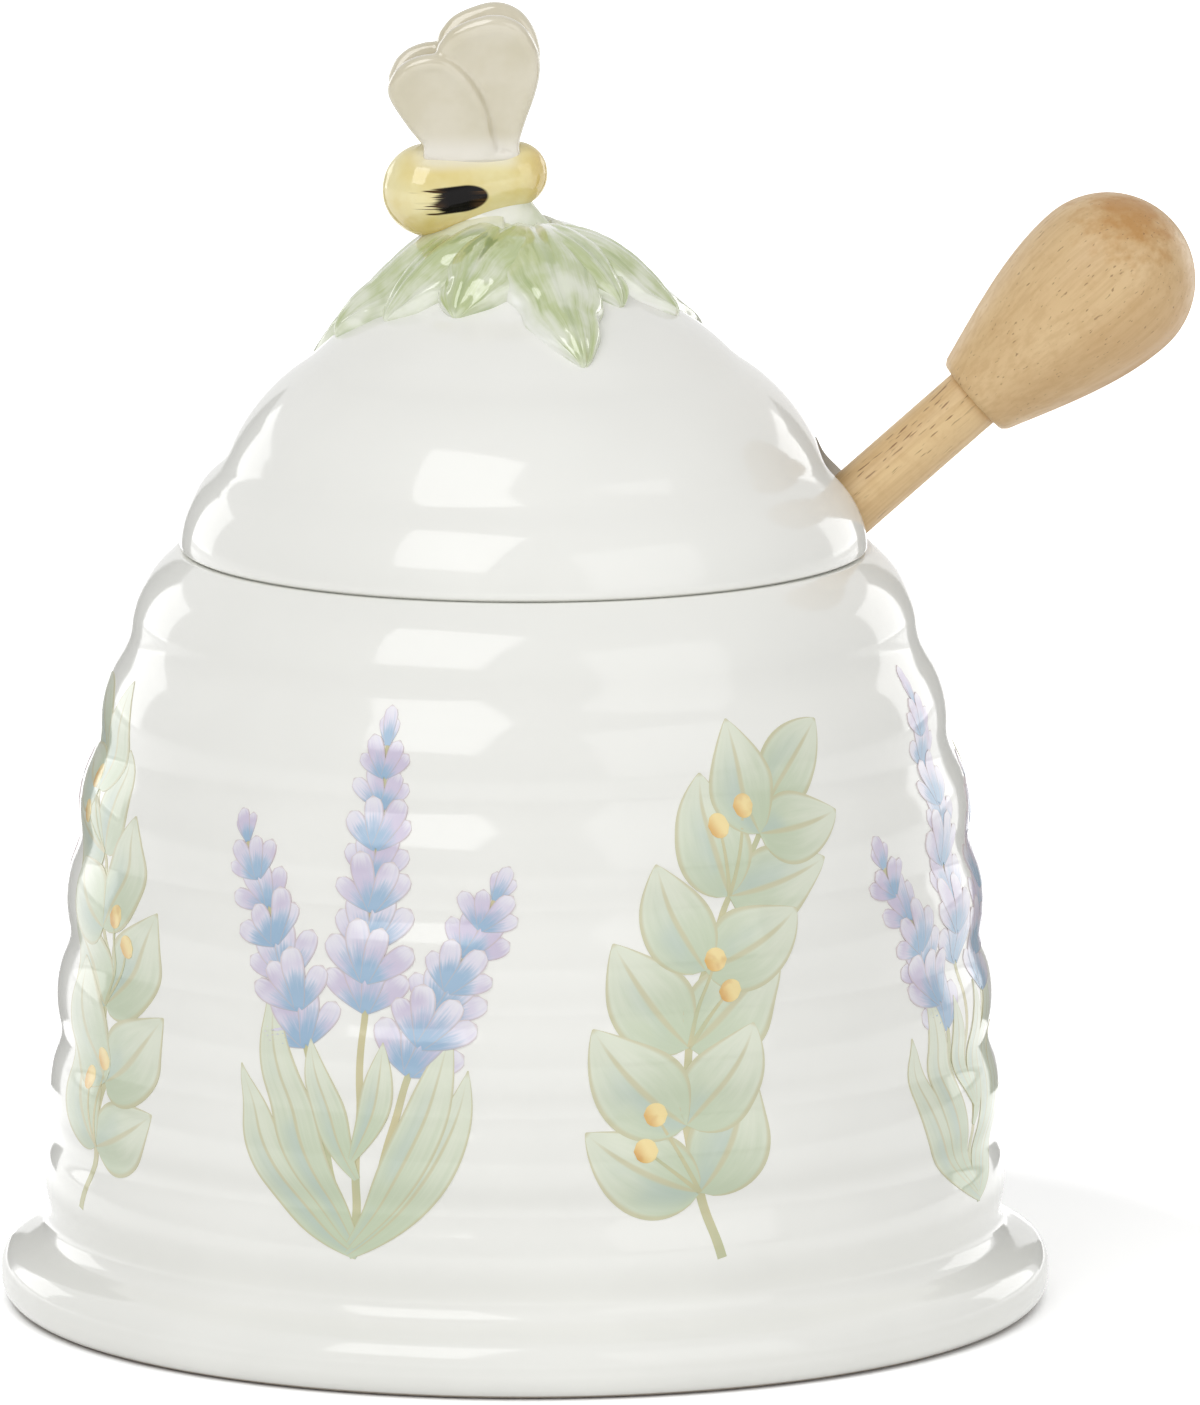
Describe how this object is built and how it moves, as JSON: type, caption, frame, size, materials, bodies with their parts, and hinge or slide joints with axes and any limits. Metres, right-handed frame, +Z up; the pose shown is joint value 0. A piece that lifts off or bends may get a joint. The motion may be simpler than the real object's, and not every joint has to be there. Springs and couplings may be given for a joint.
{
  "type": "honey pot",
  "caption": "Ribbed white porcelain hive honey pot with a lift-off domed lid, a leaf and bee finial, and a turned wooden dipper that leaves through a notch in the lid.",
  "frame": {"origin": "centre of the foot ring, on the plane the pot stands on", "axes": "+Z up along the pot's turning axis, +X towards the side where the dipper leaves the lid, -Y towards the front of the picture"},
  "size_m": [0.1271, 0.112, 0.1387],
  "materials": {
    "porcelain": "glossy",
    "leaf_green": "glossy",
    "bee_yellow": "glossy",
    "wing_cream": "glossy",
    "wood": "satin"
  },
  "bodies": {
    "pot": {"pot_body": "porcelain"},
    "lid": {"lid_dome": "porcelain", "leaf_front": "leaf_green", "leaf_left": "leaf_green", "leaf_right": "leaf_green", "leaf_left_mid": "leaf_green", "leaf_front_left": "leaf_green", "leaf_right_mid": "leaf_green", "leaf_back": "leaf_green", "leaf_back_left": "leaf_green", "leaf_back_right": "leaf_green", "bee_body": "bee_yellow", "bee_wings_front": "wing_cream", "bee_wings_back": "wing_cream"},
    "dipper": {"dipper_knob": "wood", "dipper_shaft": "wood", "dipper_head": "wood"}
  },
  "joints": [
    {"name": "lid_lift", "type": "slide", "parent": "pot", "child": "lid", "axis": [0, 0, 1], "range_m": [0, 0.08]},
    {"name": "dipper_draw", "type": "slide", "parent": "pot", "child": "dipper", "axis": [0.7478, 0, 0.6639], "range_m": [0, 0.05]}
  ]
}
